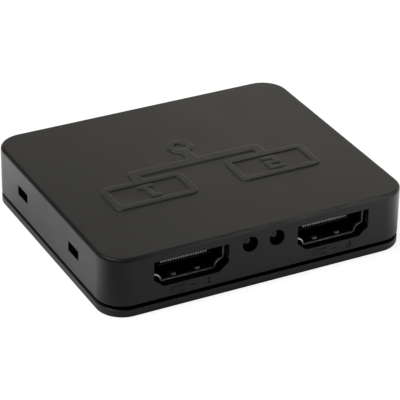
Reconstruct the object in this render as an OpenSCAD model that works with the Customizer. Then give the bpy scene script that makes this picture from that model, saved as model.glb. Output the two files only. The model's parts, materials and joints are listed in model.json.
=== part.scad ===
// Video splitter in a snap-together plastic case, with two outputs at the front and, at the rear,
// one input and a small power socket. Millimetres. The front looks along -Y, and the base stands on Z = 0.

/* [Case] */
// Width of the case, left to right
case_w = 62.2; // [58:0.2:90]
// Depth of the case, front to rear
case_d = 52.4; // [48:0.2:80]
// Radius of the case's upright corners
corner_r = 5.2; // [4.4:0.1:8]
// Thickness of the upright walls
wall_t = 1.3; // [1.1:0.1:1.8]
// Thickness of the roof
roof_t = 1.2; // [1:0.1:2.5]
// Thickness of the floor
floor_t = 1.4; // [1:0.1:3]
// Radius of the roof's outer edge
roof_edge_r = 0.7; // [0.2:0.05:0.9]
// Radius of the floor's outer edge
floor_edge_r = 0.5; // [0.2:0.05:0.9]
// Height of the base's rim above its floor
rim_h = 0.25; // [0.2:0.05:0.8]
// Height of the shadow gap between the base's rim and the cover
groove_h = 0.85; // [0.3:0.05:1]
// Free height between the video sockets and the roof
headroom = 0.85; // [0.4:0.05:3]

/* [Joint of base and cover] */
// Thickness of the base's inner lip
lip_t = 1; // [0.8:0.1:1.4]
// Clearance between the lip and the cover's wall
lip_clear = 0.15; // [0.05:0.05:0.3]
// Depth of the lip's top below the board's top
lip_drop = 0.7; // [0.4:0.1:1]
// Length of a snap window along the side wall
window_l = 4.35; // [3:0.05:7]
// Height of a snap window
window_h = 2; // [1.4:0.05:2.4]
// Height of a window's middle above the cover's lower rim
window_rise = 4.65; // [3.8:0.05:5.5]
// Distance between the two windows of a side
window_pitch = 23; // [16:0.5:28]
// Clearance between a hook's barb and its window
hook_clear = 0.15; // [0.05:0.05:0.3]
// Depth of a barb's tip below the outer face of the wall
barb_recess = 1; // [0.4:0.05:1]
// Height of a barb's upright nose
barb_nose = 0.3; // [0.1:0.05:0.6]
// Height of a hook above its barb
hook_top = 0.3; // [0.1:0.1:1]
// Thickness of the ribs that seat the cover on the lip
rib_t = 1.2; // [0.8:0.1:2]
// Distance of a seat rib from the end of the side's straight wall
rib_inset = 2.5; // [1:0.1:4]

/* [Board] */
// Thickness of the board
board_t = 1.6; // [1:0.1:2]
// Height of the board above the floor
standoff_h = 1.9; // [1.6:0.1:4]
// Gap between the board's edge and the lip
board_gap = 0.65; // [0.3:0.05:0.9]
// Distance of the mounting holes from the board's edges
hole_inset = 2.7; // [2.5:0.1:3]
// Diameter of the mounting holes
hole_d = 2.3; // [2.2:0.1:2.6]
// Diameter of the board posts
post_d = 4.4; // [3.6:0.1:4.6]
// Diameter of the locating pins
pin_d = 2; // [1.6:0.1:2.1]
// Height of a locating pin above the board
pin_proud = 0.5; // [0.2:0.1:1.5]

/* [Board screws] */
// Diameter of the screw's shank
screw_d = 1.9; // [1.4:0.1:2]
// Diameter of the screw's head
screw_head_d = 3.6; // [3:0.1:3.8]
// Height of the screw's head
screw_head_h = 1.3; // [0.8:0.1:2]
// Length of shank below the board
screw_bite = 2.3; // [1.2:0.1:2.5]
// Clearance round the shank in its post
screw_clear = 0.02; // [0.01:0.01:0.1]
// Depth of the pilot hole past the screw's tip
pilot_spare = 0.3; // [0.1:0.1:0.4]
// Width of the cross cut in the head
screw_slot_w = 0.5; // [0.3:0.05:0.8]
// Length of the cross cut in the head
screw_slot_l = 2; // [1.2:0.1:2.6]
// Depth of the cross cut in the head
screw_slot_depth = 0.7; // [0.3:0.1:0.75]

/* [Video sockets] */
// Distance of an output's middle from the side of the case
output_side = 16.5; // [15.8:0.1:18]
// Distance of the input's middle from the left side of the case
input_side = 23; // [18:0.5:26]
// Gap between a socket's mouth and the inner face of the wall
socket_gap = 0.2; // [0.1:0.05:0.5]
// Margin of a cutout beside and above the socket's opening
cutout_clear = 0.5; // [0.2:0.05:0.55]
// Margin of a video cutout below the socket's opening
cutout_sill = 0.3; // [0.2:0.05:0.55]
// Width of the slope at a cutout's lower corners
cutout_slope_w = 1.95; // [1.2:0.05:2.2]
// Height of the slope at a cutout's lower corners
cutout_slope_h = 1.6; // [1.2:0.05:2]
// Width of the opening
video_w = 14; // [13.5:0.05:14.4]
// Height of the opening
video_h = 4.55; // [4.4:0.05:5]
// Radius of the hollow notch at the opening's lower corners
video_notch_r = 1.7; // [1.3:0.05:2]
// Length of the shell
video_len = 11.2; // [10:0.1:12]
// Depth of the hollow, from the mouth to the insulator
video_depth = 7.6; // [7:0.1:8.5]
// Thickness of the shell's sheet
shell_t = 0.3; // [0.2:0.05:0.4]
// Clearance between the insulator and the shell
insulator_clear = 0.03; // [0.01:0.01:0.08]
// Width of the insulator's tongue
tongue_w = 10.9; // [10.5:0.1:11.4]
// Thickness of the tongue
tongue_t = 1.2; // [0.9:0.1:1.4]
// Height of the tongue's middle above the opening's middle
tongue_rise = 0.5; // [0.2:0.05:0.7]
// Depth of the contacts' tips, in front of the tongue, behind the mouth
tongue_recess = 1.8; // [1.5:0.05:3]
// Thickness of the tongue's nose, in front of the contacts' tips
nose_t = 0.25; // [0.15:0.05:0.4]
// Height of the nose, up from the tongue's underside
nose_h = 0.2; // [0.1:0.05:0.8]

/* [Video contacts] */
// Number of contacts on the tongue's upper side
upper_contacts = 10; // [4:1:10]
// Number of contacts on the tongue's lower side
lower_contacts = 9; // [3:1:9]
// Distance between contacts of one row
contact_pitch = 1; // [0.9:0.05:1.05]
// Width of a contact
contact_w = 0.3; // [0.2:0.02:0.36]
// Thickness of a contact
contact_t = 0.15; // [0.1:0.01:0.2]
// Depth to which a contact lies in the tongue
contact_sink = 0.1; // [0.04:0.01:0.14]
// Clearance round a contact in the insulator
contact_clear = 0.02; // [0.01:0.01:0.03]
// Gap between the insulator and the upright part of a contact
tail_gap = 0.2; // [0.1:0.05:0.4]
// Length of a contact's foot on the board
foot_l = 0.9; // [0.6:0.1:1.2]

/* [Video shell springs and legs] */
// Width of a spring finger
spring_w = 1.3; // [1:0.05:1.8]
// Distance of a spring's middle from the middle of the socket
spring_x = 2.4; // [1.8:0.05:3.2]
// Depth of the middle of a spring's rolled tip behind the mouth
spring_tip = 1.8; // [1.7:0.05:2.1]
// Depth of a spring's root behind the mouth
spring_root = 6.4; // [5:0.1:7]
// Height of a spring's bump above the sheet
spring_rise = 0.3; // [0.2:0.05:0.4]
// Radius of a spring's rolled tip
spring_roll_r = 1; // [0.8:0.05:1.1]
// Gap round a spring in the sheet
spring_slot = 0.25; // [0.15:0.05:0.35]
// Depth of the front legs behind the mouth
front_leg = 3.6; // [3.4:0.1:4.5]
// Depth of the rear legs behind the mouth
rear_leg = 9.4; // [8:0.1:9.8]
// Width of a leg
leg_w = 1.2; // [0.8:0.1:1.4]
// Length of a leg below the board
leg_below = 0.6; // [0.2:0.1:1.2]
// Clearance round a leg in its slot
leg_clear = 0.2; // [0.1:0.05:0.25]

/* [Power socket] */
// Distance of the power socket's middle from the right side of the case
power_side = 17; // [13:0.5:18]
// Width of the opening
power_w = 7; // [6.8:0.05:7.4]
// Height of the opening
power_h = 1.95; // [1.8:0.05:2.3]
// Width of the slope at the opening's lower corners
power_slope_w = 0.9; // [0.5:0.05:1.2]
// Height of the slope at the opening's lower corners
power_slope_h = 0.75; // [0.5:0.05:1]
// Length of the shell
power_len = 5.2; // [4.8:0.1:6]
// Depth of the hollow, from the mouth to the insulator
power_depth = 3.8; // [3.4:0.1:4]
// Width of the insulator's tongue
power_tongue_w = 3.8; // [3.6:0.1:4.4]
// Thickness of the tongue
power_tongue_t = 0.6; // [0.5:0.05:0.7]
// Height of the tongue's middle above the opening's middle
power_tongue_rise = 0.3; // [0.2:0.05:0.4]
// Depth of the tongue's tip behind the mouth
power_tongue_recess = 0.8; // [0.5:0.05:1.2]
// Number of contacts
power_contact_count = 5; // [3:1:5]
// Distance between contacts
power_contact_pitch = 0.65; // [0.6:0.01:0.7]
// Depth of the legs behind the mouth
power_leg = 3.4; // [3.2:0.1:3.8]
// Width of the pocket for the plug's grip
pocket_w = 11.4; // [10.5:0.1:12.5]
// Height of the pocket for the plug's grip
pocket_h = 6.4; // [5.5:0.1:6.8]
// Depth of the pocket in the wall
pocket_depth = 0.6; // [0.3:0.05:0.7]
// Corner radius of the pocket
pocket_r = 1.6; // [0.5:0.1:2.4]

/* [Indicator lights] */
// Distance between the two lights
led_pitch = 5.5; // [4.2:0.1:6.5]
// Diameter of a lens
led_d = 2.9; // [2.4:0.1:3]
// Diameter of the collar at a lens's foot
led_collar_d = 3.2; // [3.1:0.05:3.6]
// Thickness of the collar
led_collar_t = 0.8; // [0.5:0.1:1.2]
// Length of a lens, tip to foot
led_len = 4.8; // [4:0.1:5.5]
// Depth of a lens's tip below the case's front face
led_recess = 0.9; // [0.4:0.1:1.4]
// Gap between the collar and the roof
led_roof_gap = 0.25; // [0.05:0.05:0.5]
// Clearance of a lens in its hole
led_clear = 0.1; // [0.05:0.05:0.2]
// Distance between the two leads of a light
lead_pitch = 2.54; // [2:0.02:2.54]
// Side of a square lead
lead_t = 0.5; // [0.4:0.05:0.6]
// Length of a lead behind the lens, before its bend
lead_run = 1.5; // [1:0.1:2.5]
// Length of a lead below the board
lead_below = 0.9; // [0.3:0.1:1.3]
// Diameter of the board's holes for the leads
lead_hole_d = 0.95; // [0.9:0.05:1.1]

/* [Top mark] */
// Height of the raised lines
relief_h = 0.2; // [0.1:0.05:0.5]
// Depth of the whole mark, front to rear
mark_d = 20; // [18:0.5:24]
// Distance between the middles of the two screens
screen_pitch = 26; // [22:0.5:30]
// Width of a screen
screen_w = 17; // [14:0.5:20]
// Height of a screen
screen_h = 8.6; // [7.5:0.1:10]
// Corner radius of a screen
screen_r = 1.5; // [1.35:0.05:3]
// Width of a screen's outline
screen_line = 1.3; // [0.8:0.1:1.35]
// Width of the flow lines
flow_w = 2; // [1:0.1:2.6]
// Distance of the split below the screens
split_drop = 2.6; // [1.5:0.1:3.2]
// Diameter of the source ring
ring_d = 5; // [4:0.1:6]
// Diameter of the source ring's hole
ring_hole_d = 2.4; // [1.4:0.1:3]
// Height of the screens' numbers
digit_h = 4.6; // [3:0.1:5.5]
// Width of the screens' numbers
digit_w = 3; // [2:0.1:5]
// Width of the numbers' lines
digit_line = 0.9; // [0.5:0.1:1]

/* [Socket labels] */
// Depth of the labels in the wall
label_depth = 0.2; // [0.05:0.05:0.3]
// Height of the labels
label_h = 1.4; // [0.8:0.1:1.6]
// Width of a label's number
label_digit_w = 1; // [0.6:0.05:1.2]
// Width of a label's lines
label_line = 0.28; // [0.15:0.01:0.3]
// Length of a label's arrow
arrow_l = 4.4; // [2.5:0.1:5]
// Length of an arrow's head
arrow_head = 1.1; // [0.5:0.1:1.4]
// Share of the box's inner height that an arrow's head takes
arrow_share = 0.7; // [0.5:0.05:0.9]
// Width of the open box that an arrow crosses
box_w = 2.8; // [2:0.1:3.2]
// Distance of the number from the arrow
label_gap = 1.3; // [0.8:0.1:2]

/* [Splitter chip] */
// Side of the square body
chip_side = 10; // [7:0.1:10.4]
// Height of the body
chip_h = 1.4; // [0.8:0.1:2]
// Number of leads on each side
chip_leads_n = 16; // [8:1:18]
// Distance between leads
chip_pitch = 0.5; // [0.4:0.05:0.55]
// Width of a lead
chip_lead_w = 0.22; // [0.15:0.01:0.3]
// Diameter of the dot that marks the first lead
dot_d = 1; // [0.5:0.1:1.4]
// Distance of the dot from the body's edges
dot_inset = 0.5; // [0.3:0.1:0.9]
// Depth of the dot
dot_depth = 0.1; // [0.05:0.05:0.3]
// Height of every chip's body above the board
chip_lift = 0.1; // [0.05:0.05:0.2]
// Thickness of every chip's leads
chip_lead_t = 0.15; // [0.1:0.01:0.2]
// Length of every chip's leads, body to tip
chip_lead_l = 1; // [0.8:0.05:1.2]
// Length of the foot of every chip's leads
chip_foot_l = 0.55; // [0.4:0.05:0.6]

/* [Memory chip] */
// Length of the body
memory_l = 4.9; // [4.5:0.1:5.2]
// Width of the body
memory_w = 3.9; // [3.5:0.1:4.2]
// Height of the body
memory_h = 1.45; // [1:0.05:1.7]
// Number of leads on each side
memory_leads_n = 4; // [2:1:4]
// Distance between leads
memory_pitch = 1.27; // [1:0.01:1.3]
// Width of a lead
memory_lead_w = 0.42; // [0.3:0.02:0.5]

/* [Regulator] */
// Length of the body
regulator_l = 6.5; // [6:0.1:6.8]
// Width of the body
regulator_w = 3.5; // [3.2:0.1:3.8]
// Height of the body
regulator_h = 1.6; // [1.2:0.1:1.9]
// Width of the wide lead
regulator_tab_w = 3; // [2.6:0.1:3.4]
// Number of narrow leads
regulator_leads_n = 3; // [2:1:3]
// Width of a narrow lead
regulator_lead_w = 0.7; // [0.5:0.05:0.9]
// Distance between the narrow leads
regulator_pitch = 2.3; // [2:0.05:2.5]

/* [Crystal] */
// Length of the can
crystal_l = 10.4; // [8:0.1:11]
// Width of the can
crystal_w = 4; // [3:0.1:4.2]
// Height of the can
crystal_h = 3; // [2:0.1:3.6]
// Width of the base past the can, all round
crystal_rim = 0.4; // [0.2:0.05:0.6]
// Thickness of the base
crystal_base_t = 0.8; // [0.4:0.1:1.2]

/* [Power parts] */
// Diameter of the bulk capacitor's can
bulk_d = 4; // [3:0.1:4.3]
// Height of the bulk capacitor, base included
bulk_h = 5.2; // [3.5:0.1:5.3]
// Side of the bulk capacitor's square base
bulk_base = 4.3; // [4.3:0.1:4.6]
// Thickness of the bulk capacitor's base
bulk_base_t = 0.8; // [0.4:0.1:1.2]
// Side of the square inductor
inductor_side = 4; // [3:0.1:4.2]
// Height of the inductor
inductor_h = 2; // [1.2:0.1:3]
// Depth of the inductor's round well
inductor_well = 0.3; // [0.1:0.1:0.6]
// Diameter of the inductor's round well
inductor_well_d = 2.8; // [1.8:0.1:2.9]
// Length of the fuse
fuse_l = 3.2; // [2.8:0.1:3.4]
// Width of the fuse
fuse_w = 1.6; // [1.2:0.1:1.8]
// Height of the fuse
fuse_h = 0.6; // [0.4:0.05:1]
// Distance of the fuse's middle behind the power socket's mouth
fuse_y = 10; // [8:0.1:11]

/* [Small parts] */
// Gap between the small parts and the larger ones beside them
part_gap = 1.5; // [0.8:0.1:2]
// Distance of the outermost parts from the board's right edge
part_edge = 2; // [1.5:0.1:3]
// Distance between the two rows of larger parts
part_row_pitch = 8.2; // [7.5:0.1:9]
// Length of a chip capacitor or resistor
small_l = 1.6; // [1.4:0.1:1.8]
// Width of a chip capacitor or resistor
small_w = 0.8; // [0.6:0.05:1]
// Height of a chip capacitor
capacitor_h = 0.8; // [0.5:0.05:1]
// Height of a chip resistor
resistor_h = 0.45; // [0.3:0.05:0.6]
// Length of a metal end
end_l = 0.3; // [0.2:0.05:0.4]
// Number of chip capacitors on each side of the splitter chip
capacitors_n = 6; // [2:1:6]
// Number of chip resistors on each side of the splitter chip
resistors_n = 6; // [2:1:6]
// Distance between small parts of a column
small_pitch = 1.9; // [1.5:0.1:2]
// Gap between the splitter chip's leads and the capacitors, and between capacitors and resistors
small_gap = 1; // [0.6:0.1:1.2]
// Length of a surge array
surge_l = 2.5; // [2:0.1:3]
// Width of a surge array
surge_w = 1; // [0.8:0.05:1.2]
// Height of a surge array
surge_h = 0.5; // [0.3:0.05:0.8]
// Distance between the two surge arrays of a socket
surge_pitch = 5.2; // [4:0.1:6]
// Gap between a socket's contact feet and its surge arrays
surge_gap = 0.8; // [0.5:0.1:1.2]

/* [Hidden] */
$fn = 48;
// Depth by which cuts run past a face, and joined solids into each other
over = 0.5;
// Angle between the points of a socket's notch
notch_step = 15;
// Depths of the lip's two faces below the outer face of the wall
lip_outer = wall_t + lip_clear;
lip_inner = lip_outer + lip_t;
// Heights of the base, the board, the sockets and the cover
rim_top = floor_t + rim_h;
cover_bottom = rim_top + groove_h;
board_bottom = floor_t + standoff_h;
board_top = board_bottom + board_t;
lip_top = board_top - lip_drop;
video_mid = shell_t + video_h / 2;
power_mid = shell_t + power_h / 2;
roof_bottom = board_top + video_h + 2 * shell_t + headroom;
case_h = roof_bottom + roof_t;
window_z = cover_bottom + window_rise;
// Length of a snap hook
hook_l = window_l - 2 * hook_clear;
// Least radius of the board's corners
board_min_r = 0.5;
// Plan of the board, and the places on it
board_w = case_w - 2 * (lip_inner + board_gap);
board_d = case_d - 2 * (lip_inner + board_gap);
board_r = max(corner_r - lip_inner - board_gap, board_min_r);
hole_x = board_w / 2 - hole_inset;
hole_y = board_d / 2 - hole_inset;
mouth_y = case_d / 2 - wall_t - socket_gap;
output_x = case_w / 2 - output_side;
input_x = input_side - case_w / 2;
power_x = case_w / 2 - power_side;
rib_y = case_d / 2 - corner_r - rib_inset;
// Places of the sockets' parts, inward from the mouth and up from the board
video_leg_x = video_w / 2 + shell_t / 2;
power_leg_x = power_w / 2 + shell_t / 2;
tongue_tip = tongue_recess + contact_t + contact_clear;
video_foot_end = video_len + tail_gap + contact_t + foot_l;
surge_y = video_foot_end + surge_gap + surge_w / 2;
// Underside of the power contacts, below their tongue
power_strip_z = power_mid + power_tongue_rise - power_tongue_t / 2 + contact_sink - contact_t;
// Place of the indicator lights
led_z = roof_bottom - led_roof_gap - led_collar_d / 2;
led_y = led_recess - case_d / 2;
lead_y = led_y + led_len + lead_run;
// Rows of small parts beside the splitter chip
chip_reach = chip_side / 2 + chip_lead_l;
capacitor_x = chip_reach + small_gap + small_l / 2;
resistor_x = capacitor_x + small_l + small_gap;
// Middles of the larger parts, outward from the small ones or inward from the board's edge
parts_from = resistor_x + small_l / 2 + part_gap;
memory_at = [parts_from + memory_l / 2, -part_row_pitch / 2];
bulk_at = [board_w / 2 - part_edge - bulk_base / 2, -part_row_pitch / 2];
regulator_at = [parts_from + regulator_l / 2, part_row_pitch / 2];
inductor_at = [board_w / 2 - part_edge - inductor_side / 2, part_row_pitch / 2];
crystal_at = [-parts_from - crystal_rim - crystal_w / 2, 0];
// Colours of the pieces
cover_black = [0.16, 0.16, 0.155];
base_black = [0.15, 0.15, 0.145];
board_green = [0.05, 0.3, 0.16];
screw_grey = [0.7, 0.7, 0.72];
steel_grey = [0.72, 0.72, 0.73];
insulator_black = [0.05, 0.05, 0.05];
gold = [0.85, 0.68, 0.3];
lens_red = [0.55, 0.12, 0.06];
lens_green = [0.1, 0.4, 0.15];
tin_grey = [0.75, 0.75, 0.76];
chip_black = [0.08, 0.08, 0.08];
moulded_black = [0.1, 0.1, 0.1];
crystal_grey = [0.76, 0.76, 0.77];
bulk_grey = [0.78, 0.78, 0.8];
ferrite_grey = [0.2, 0.2, 0.21];
fuse_cream = [0.75, 0.75, 0.7];
capacitor_tan = [0.62, 0.5, 0.36];
end_grey = [0.8, 0.8, 0.8];
resistor_black = [0.08, 0.08, 0.09];
// Middle of the labels, halfway between the cover's rim and the video cutouts
label_z = (cover_bottom + board_top + shell_t - cutout_sill) / 2;

// Places in the frame

// Copies to the left and the right
module left_and_right() {
    for (flip = [0, 1])
        mirror([flip, 0, 0])
            children();
}

// Copies to all four quarters
module four_quarters() {
    for (flip = [0, 1])
        mirror([0, flip, 0])
            left_and_right()
                children();
}

// Extrudes an upright section, its Y up, between two depths along Y
module upright(from, to) {
    translate([0, to, 0])
        rotate([90, 0, 0])
            linear_extrude(to - from)
                children();
}

// Extrudes a side section, its X along Y and its Y up, to a width across the middle
module across(width) {
    rotate([90, 0, 90])
        linear_extrude(width, center = true)
            children();
}

// Puts a socket at the front, its mouth outward: side is -1 on the left and 1 on the right
module at_output(side) {
    translate([side * output_x, -mouth_y, board_top])
        children();
}

// Puts a socket at the rear, its mouth outward
module at_rear(x) {
    translate([x, mouth_y, board_top])
        rotate(180)
            children();
}

module at_video_sockets() {
    for (side = [-1, 1])
        at_output(side)
            children();
    at_rear(input_x)
        children();
}

module on_board(place) {
    translate([place[0], place[1], board_top])
        children();
}

// Case walls

// Sweeps a wall section round the case: its X runs outward from the corners' centres, its Y up
module round_the_case() {
    left_and_right()
        translate([case_w / 2 - corner_r, 0, 0])
            rotate([90, 0, 0])
                linear_extrude(case_d - 2 * corner_r, center = true)
                    children();
    for (flip = [0, 1])
        mirror([0, flip, 0])
            translate([0, case_d / 2 - corner_r, 0])
                rotate([90, 0, 90])
                    linear_extrude(case_w - 2 * corner_r, center = true)
                        children();
    four_quarters()
        translate([case_w / 2 - corner_r, case_d / 2 - corner_r, 0])
            rotate_extrude(angle = 90)
                children();
}

// Plate between the corners' centres
module middle_plate(bottom, top) {
    plate = [case_w - 2 * corner_r, case_d - 2 * corner_r];
    translate([-plate[0] / 2, -plate[1] / 2, bottom])
        cube([plate[0], plate[1], top - bottom]);
}

// Section of a slab that ends in a rounded upper edge
module slab_section(height, edge_r) {
    square([corner_r - edge_r, height]);
    square([corner_r, height - edge_r]);
    translate([corner_r - edge_r, height - edge_r])
        circle(edge_r);
}

module cover_section() {
    difference() {
        translate([0, cover_bottom])
            slab_section(case_h - cover_bottom, roof_edge_r);
        translate([-over, cover_bottom - over])
            square([corner_r - wall_t + over, roof_bottom - cover_bottom + over]);
    }
}

module base_section() {
    difference() {
        translate([0, rim_top])
            mirror([0, 1])
                slab_section(rim_top, floor_edge_r);
        translate([-over, floor_t])
            square([corner_r - lip_inner + over, rim_h + over]);
    }
    translate([corner_r - lip_inner, floor_t - over])
        square([lip_t, lip_top - floor_t + over]);
}

// Marks

// Block numbers, centred on their middle
module digit_one(w, h, line) {
    translate([-w / 2, -h / 2])
        square([w, line]);
    translate([-w / 2, h / 2 - line])
        square([w / 2, line]);
    translate([-line / 2, -h / 2])
        square([line, h]);
}

module digit_two(w, h, line) {
    for (level = [-1, 0, 1])
        translate([-w / 2, level * (h - line) / 2 - line / 2])
            square([w, line]);
    translate([w / 2 - line, -line / 2])
        square([line, h / 2 + line / 2]);
    translate([-w / 2, -h / 2])
        square([line, h / 2 + line / 2]);
}

module rounded_square(w, h, r) {
    square([w, h - 2 * r], center = true);
    square([w - 2 * r, h], center = true);
    for (x = [-1, 1])
        for (y = [-1, 1])
            translate([x * (w / 2 - r), y * (h / 2 - r)])
                circle(r);
}

module screen_outline() {
    difference() {
        rounded_square(screen_w, screen_h, screen_r);
        rounded_square(screen_w - 2 * screen_line, screen_h - 2 * screen_line, screen_r - screen_line);
    }
}

// One source that splits to two numbered screens
module flow_mark() {
    screen_y = mark_d / 2 - screen_h / 2;
    split_y = mark_d / 2 - screen_h - split_drop;
    ring_y = ring_d / 2 - mark_d / 2;
    for (side = [-1, 1])
        translate([side * screen_pitch / 2, 0]) {
            translate([0, screen_y])
                screen_outline();
            translate([-flow_w / 2, split_y])
                square([flow_w, split_drop + screen_line / 2]);
            translate([0, split_y])
                circle(flow_w / 2);
        }
    translate([screen_pitch / 2, screen_y])
        digit_one(digit_w, digit_h, digit_line);
    translate([-screen_pitch / 2, screen_y])
        digit_two(digit_w, digit_h, digit_line);
    translate([-screen_pitch / 2, split_y - flow_w / 2])
        square([screen_pitch, flow_w]);
    difference() {
        union() {
            translate([0, ring_y])
                circle(ring_d / 2);
            translate([-flow_w / 2, ring_y])
                square([flow_w, split_y - ring_y]);
        }
        translate([0, ring_y])
            circle(ring_hole_d / 2);
    }
}

// Arrow through the open side of a box: out of it, or into it where way is -1
module arrow_mark(way) {
    half = label_h / 2;
    translate([-box_w, -half]) {
        square([label_line, label_h]);
        square([box_w, label_line]);
        translate([0, label_h - label_line])
            square([box_w, label_line]);
    }
    tip = way > 0 ? arrow_l / 2 : -arrow_l / 2;
    translate([-arrow_l / 2, -label_line / 2])
        square([arrow_l, label_line]);
    foot = tip - way * arrow_head;
    head_half = arrow_share * (half - label_line);
    polygon([[tip, 0], [foot, head_half], [foot, -head_half]]);
}

module power_mark() {
    difference() {
        circle(label_h / 2);
        circle(label_h / 2 - label_line);
        translate([-label_line, 0])
            square([2 * label_line, label_h]);
    }
    translate([-label_line / 2, 0])
        square([label_line, label_h / 2]);
}

// Cuts a label into the front wall below an output
module output_label(side) {
    translate([side * output_x, -case_d / 2, label_z])
        upright(-over, label_depth) {
            translate([-label_gap, 0])
                arrow_mark(1);
            translate([label_gap + arrow_l / 2, 0])
                if (side < 0)
                    digit_one(label_digit_w, label_h, label_line);
                else
                    digit_two(label_digit_w, label_h, label_line);
        }
}

// Cuts the rear wall's labels
module rear_labels() {
    translate([0, case_d / 2, label_z])
        rotate(180)
            upright(-over, label_depth) {
                translate([-input_x, 0])
                    arrow_mark(-1);
                translate([-power_x - pocket_w / 2 - label_h, 0])
                    power_mark();
            }
}

// Covers

// Outline of an opening with sloped lower corners, about its middle and grown all round
function sloped_outline(w, h, slope_w, slope_h, grow) =
    let (slope = norm([slope_w, slope_h]))
    let (cut_w = slope_w + grow * (1 + (slope_w - slope) / slope_h))
    let (cut_h = slope_h + grow * (1 + (slope_h - slope) / slope_w))
    let (x = w / 2 + grow)
    let (y = h / 2 + grow)
    [[-x, y], [x, y], [x, cut_h - y], [x - cut_w, -y], [cut_w - x, -y], [-x, cut_h - y]];

// Points of the hollow notch at a lower corner, from the upright side to the underside
function notch_points(w, h, notch_r, grow) =
    let (r = notch_r - grow)
    [for (turn = [90 : notch_step : 180])
        [min(w / 2 + r * cos(turn), w / 2 + grow), max(r * sin(turn) - h / 2, -h / 2 - grow)]];

// Outline of an opening with hollow notches at its lower corners, about its middle and grown all round
function notched_outline(w, h, notch_r, grow) =
    let (x = w / 2 + grow)
    let (y = h / 2 + grow)
    let (r = notch_r - grow)
    let (right = concat([[x, y], [x, r - h / 2]], notch_points(w, h, notch_r, grow), [[w / 2 - r, -y]]))
    concat(right, [for (i = [len(right) - 1 : -1 : 0]) [-right[i][0], right[i][1]]]);

function video_outline(grow) = notched_outline(video_w, video_h, video_notch_r, grow);

function power_outline(grow) = sloped_outline(power_w, power_h, power_slope_w, power_slope_h, grow);

// Cuts through the wall in front of a socket, in the socket's own place
module wall_cut() {
    upright(-socket_gap - wall_t - over, -socket_gap + over)
        children();
}

// Cutout for a video socket, nearer to the opening below it than beside and above it
module video_cut() {
    cut_w = video_w + 2 * cutout_clear;
    cut_h = video_h + cutout_clear + cutout_sill;
    translate([0, 0, video_mid + (cutout_clear - cutout_sill) / 2])
        wall_cut()
            polygon(sloped_outline(cut_w, cut_h, cutout_slope_w, cutout_slope_h, 0));
}

module snap_window() {
    translate([case_w / 2 - wall_t - over, window_pitch / 2 - window_l / 2, window_z - window_h / 2])
        cube([wall_t + 2 * over, window_l, window_h]);
}

module seat_rib() {
    reach = lip_inner - wall_t;
    translate([case_w / 2 - lip_inner, rib_y - rib_t / 2, lip_top])
        cube([reach + wall_t / 2, rib_t, roof_bottom - lip_top + roof_t / 2]);
}

module light_hole() {
    translate([led_pitch / 2, -case_d / 2 - over, led_z])
        rotate([-90, 0, 0])
            cylinder(d = led_d + 2 * led_clear, h = wall_t + 2 * over);
}

module power_cuts() {
    translate([0, 0, power_mid]) {
        wall_cut()
            polygon(power_outline(cutout_clear));
        upright(-socket_gap - wall_t - over, -socket_gap - wall_t + pocket_depth)
            rounded_square(pocket_w, pocket_h, pocket_r);
    }
}

module top_cover() {
    color(cover_black)
        difference() {
            union() {
                round_the_case()
                    cover_section();
                middle_plate(roof_bottom, case_h);
                four_quarters()
                    seat_rib();
                translate([0, 0, case_h - roof_t / 2])
                    rotate(180)
                        linear_extrude(roof_t / 2 + relief_h)
                            flow_mark();
            }
            at_video_sockets()
                video_cut();
            at_rear(power_x)
                power_cuts();
            left_and_right()
                light_hole();
            four_quarters()
                snap_window();
            for (side = [-1, 1])
                output_label(side);
            rear_labels();
        }
}

// Hook on the lip, whose barb has a flat underside and a sloping top
module snap_hook() {
    barb_reach = lip_outer - barb_recess;
    barb_bottom = window_z - window_h / 2 + hook_clear;
    barb_top = window_z + window_h / 2 - hook_clear;
    translate([case_w / 2 - lip_outer, window_pitch / 2, 0])
        rotate([90, 0, 0])
            linear_extrude(hook_l, center = true) {
                translate([-lip_t, lip_top - over])
                    square([lip_t, barb_top + hook_top - lip_top + over]);
                polygon([[-lip_t / 2, barb_bottom], [barb_reach, barb_bottom],
                    [barb_reach, barb_bottom + barb_nose], [0, barb_top], [-lip_t / 2, barb_top]]);
            }
}

module board_post() {
    translate([hole_x, hole_y, floor_t / 2])
        cylinder(d = post_d, h = board_bottom - floor_t / 2);
}

module pilot_hole() {
    depth = screw_bite + pilot_spare;
    translate([hole_x, hole_y, board_bottom - depth])
        cylinder(d = screw_d + 2 * screw_clear, h = depth + over);
}

module locating_pin() {
    translate([-hole_x, hole_y, board_bottom - over])
        cylinder(d = pin_d, h = board_t + pin_proud + over);
}

// Turns a corner's piece to the corner across the board as well
module both_ends() {
    for (turn = [0, 180])
        rotate(turn)
            children();
}

module bottom_cover() {
    color(base_black)
        difference() {
            union() {
                round_the_case()
                    base_section();
                middle_plate(0, floor_t);
                four_quarters()
                    snap_hook();
                four_quarters()
                    board_post();
                both_ends()
                    locating_pin();
            }
            both_ends()
                pilot_hole();
        }
}

// Board

// Slots in the board for a socket's legs, seen from above
module leg_slots(leg_x, depths) {
    slot_w = shell_t + 2 * leg_clear;
    slot_l = leg_w + 2 * leg_clear;
    for (x = [-leg_x, leg_x])
        for (y = depths)
            translate([x, y]) {
                square([slot_w, slot_l - slot_w], center = true);
                for (end = [-1, 1])
                    translate([0, end * (slot_l - slot_w) / 2])
                        circle(slot_w / 2);
            }
}

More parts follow.
